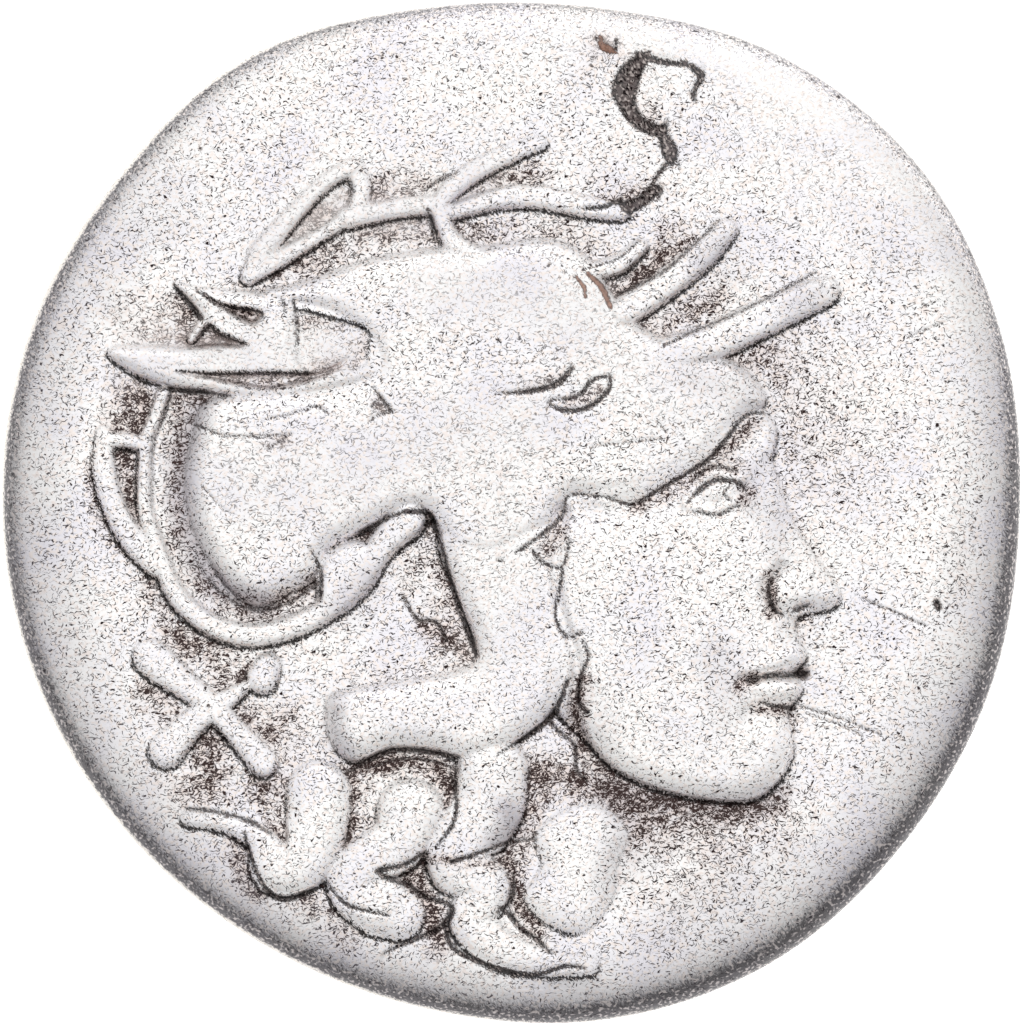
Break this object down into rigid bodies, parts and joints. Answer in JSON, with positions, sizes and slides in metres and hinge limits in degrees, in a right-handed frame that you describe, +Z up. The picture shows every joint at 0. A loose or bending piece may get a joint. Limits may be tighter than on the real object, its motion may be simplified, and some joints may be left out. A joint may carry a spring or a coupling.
{
  "type": "ancient silver coin",
  "caption": "Worn hand-struck silver coin, slightly out of round, with a helmeted head in low relief above and a horse-drawn chariot below.",
  "frame": {"origin": "middle of the underside, on the surface that the coin lies on", "axes": "+Z up out of the side with the head, +Y towards the top of the helmet, +X the way the head faces"},
  "size_m": [0.0184, 0.0184, 0.0018],
  "materials": {
    "worn_silver": "worn struck silver, satin, with fine dark toning in the recesses beside the relief"
  },
  "bodies": {
    "root": {"denarius_coin": "worn_silver"}
  },
  "joints": []
}
